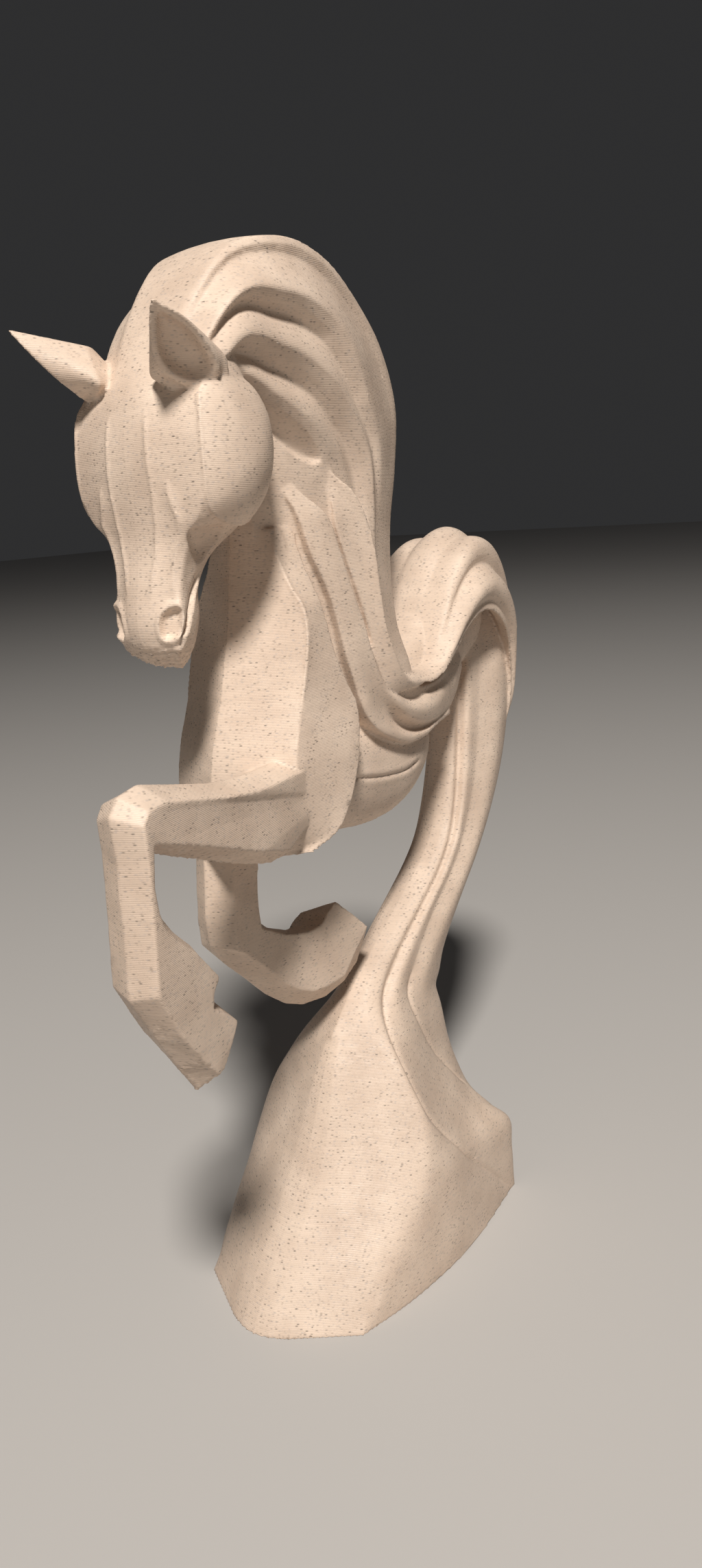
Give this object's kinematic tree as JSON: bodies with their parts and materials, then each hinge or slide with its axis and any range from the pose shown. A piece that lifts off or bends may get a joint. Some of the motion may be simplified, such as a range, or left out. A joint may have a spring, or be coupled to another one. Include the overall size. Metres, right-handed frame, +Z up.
{
  "type": "rearing horse sculpture",
  "caption": "Stylised rearing horse whose flowing mane sweeps over the croup into a tail column and a flat-bottomed pedestal, made as one printed piece.",
  "frame": {"origin": "on the flat underside, in the sagittal plane, below the tail column", "axes": "+Z up, the horse faces -Y, its left side is +X"},
  "size_m": [0.0374, 0.1114, 0.1494],
  "materials": {
    "speckled_stone_filament": "satin, fine level print layers, sparse dark flecks"
  },
  "bodies": {
    "root": {"rearing_horse": "speckled_stone_filament"}
  },
  "joints": []
}
